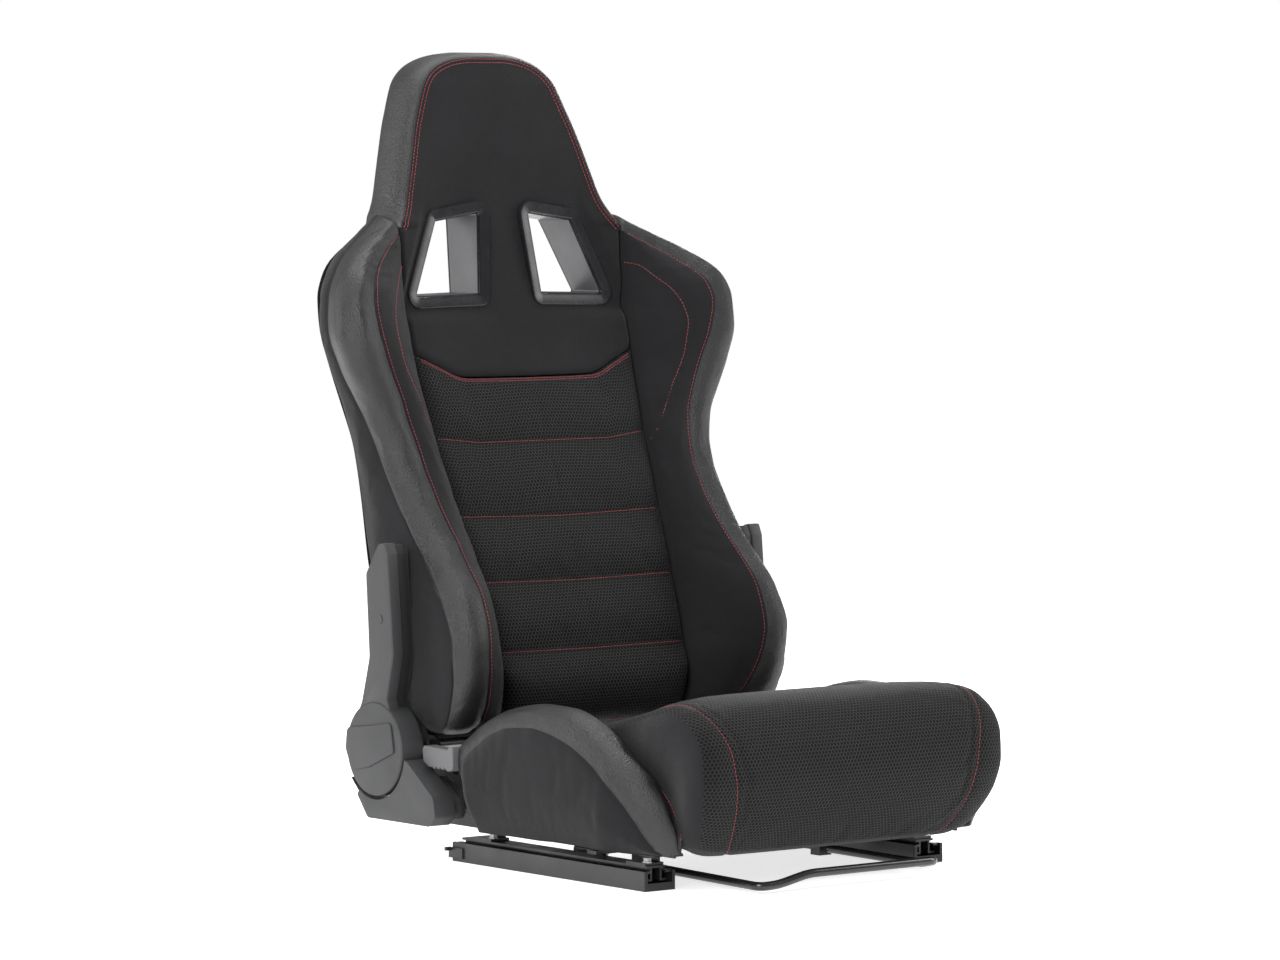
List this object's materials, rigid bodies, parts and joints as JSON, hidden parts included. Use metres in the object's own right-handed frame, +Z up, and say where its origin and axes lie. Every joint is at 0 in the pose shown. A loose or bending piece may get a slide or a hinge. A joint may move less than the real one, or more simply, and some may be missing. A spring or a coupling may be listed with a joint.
{
  "type": "racing seat",
  "caption": "Reclining bucket seat with high wings and harness slots, on slide rails with a towel-bar release and a side recline lever.",
  "frame": {"origin": "on the floor, at the middle of the four mounting holes of the two lower rails", "axes": "+Z up, -Y to the front of the seat, +X towards the occupant's left"},
  "size_m": [0.578, 0.7508, 0.928],
  "materials": {
    "rail_black": "satin",
    "frame_black": "satin",
    "end_cap_plastic": "matte",
    "cage_plastic": "matte",
    "zinc_steel": "satin",
    "spring_wire": "satin",
    "bar_black": "gloss",
    "air_mesh": "matte",
    "leather": "satin",
    "knit_fabric": "matte",
    "cover_plastic": "matte",
    "grip_plastic": "matte",
    "bezel_gloss": "gloss",
    "sleeve_plastic": "satin"
  },
  "bodies": {
    "base": {"lower_rail_left": "rail_black", "lower_rail_right": "rail_black", "rail_end_caps": "end_cap_plastic", "rail_stop_tabs": "rail_black"},
    "seat": {"upper_rail_left": "rail_black", "upper_rail_right": "rail_black", "front_feet": "rail_black", "rear_feet": "rail_black", "foot_bolts": "zinc_steel", "seat_side_plate_left": "frame_black", "seat_side_plate_right": "frame_black", "seat_front_tube": "frame_black", "seat_rear_tube": "frame_black", "seat_springs": "spring_wire", "recliner_plate_left": "frame_black", "recliner_plate_right": "frame_black", "seat_cushion": "air_mesh", "cushion_bolster_left": "leather", "cushion_bolster_right": "leather", "lower_cover_left": "cover_plastic", "lower_cover_right": "cover_plastic", "bar_pivot_blocks": "rail_black"},
    "cage_left": {"ball_cage_left": "cage_plastic", "rail_balls_left": "zinc_steel"},
    "cage_right": {"ball_cage_right": "cage_plastic", "rail_balls_right": "zinc_steel"},
    "release_bar": {"towel_bar": "bar_black"},
    "latch_left": {"latch_plate_left": "zinc_steel"},
    "latch_right": {"latch_plate_right": "zinc_steel"},
    "lever": {"recliner_lever": "frame_black", "lever_grip": "grip_plastic", "recliner_cross_rod": "zinc_steel"},
    "back": {"recliner_gear_left": "zinc_steel", "recliner_gear_right": "zinc_steel", "back_arm_left": "frame_black", "back_arm_right": "frame_black", "arm_stays": "frame_black", "back_upright_left": "frame_black", "back_upright_right": "frame_black", "back_lower_tube": "frame_black", "back_top_tube": "frame_black", "back_springs": "spring_wire", "back_pad": "air_mesh", "back_wing_left": "knit_fabric", "back_wing_right": "knit_fabric", "head_pad": "knit_fabric", "rear_panel": "knit_fabric", "harness_bezel_left": "bezel_gloss", "harness_bezel_right": "bezel_gloss", "harness_sleeve_left": "sleeve_plastic", "harness_sleeve_right": "sleeve_plastic", "rear_bezel_left": "bezel_gloss", "rear_bezel_right": "bezel_gloss", "upper_cover_left": "cover_plastic", "upper_cover_right": "cover_plastic", "recliner_cap_left": "cover_plastic", "recliner_cap_right": "cover_plastic", "cover_screws": "cover_plastic"}
  },
  "joints": [
    {"name": "seat_slide", "type": "slide", "parent": "base", "child": "seat", "axis": [0, -1, 0], "range_m": [-0.1, 0.1]},
    {"name": "cage_slide_left", "type": "slide", "parent": "base", "child": "cage_left", "axis": [0, -1, 0], "range_m": [-0.05, 0.05]},
    {"name": "cage_slide_right", "type": "slide", "parent": "base", "child": "cage_right", "axis": [0, -1, 0], "range_m": [-0.05, 0.05]},
    {"name": "back_recline", "type": "hinge", "parent": "seat", "child": "back", "pos_m": [0, 0.244, 0.127], "axis": [-1, 0, 0], "range_deg": [-15, 50]},
    {"name": "lever_lift", "type": "hinge", "parent": "seat", "child": "lever", "pos_m": [0, 0.244, 0.127], "axis": [-1, 0, 0], "range_deg": [0, 18], "stiffness_Nm_per_rad": 3, "springref_deg": -14.32},
    {"name": "bar_lift", "type": "hinge", "parent": "seat", "child": "release_bar", "pos_m": [0, -0.078, 0.012], "axis": [-1, 0, 0], "range_deg": [0, 6], "stiffness_Nm_per_rad": 12, "springref_deg": -17.19},
    {"name": "latch_turn_left", "type": "hinge", "parent": "seat", "child": "latch_left", "pos_m": [0.169, 0, 0.028], "axis": [0, 1, 0], "range_deg": [0, 9]},
    {"name": "latch_turn_right", "type": "hinge", "parent": "seat", "child": "latch_right", "pos_m": [-0.169, 0, 0.028], "axis": [0, -1, 0], "range_deg": [0, 9]}
  ],
  "couplings": [
    {"joint": "cage_slide_left", "follows": "seat_slide", "ratio": 0.5},
    {"joint": "cage_slide_right", "follows": "seat_slide", "ratio": 0.5},
    {"joint": "latch_turn_left", "follows": "bar_lift", "ratio": 1.5},
    {"joint": "latch_turn_right", "follows": "bar_lift", "ratio": 1.5}
  ]
}
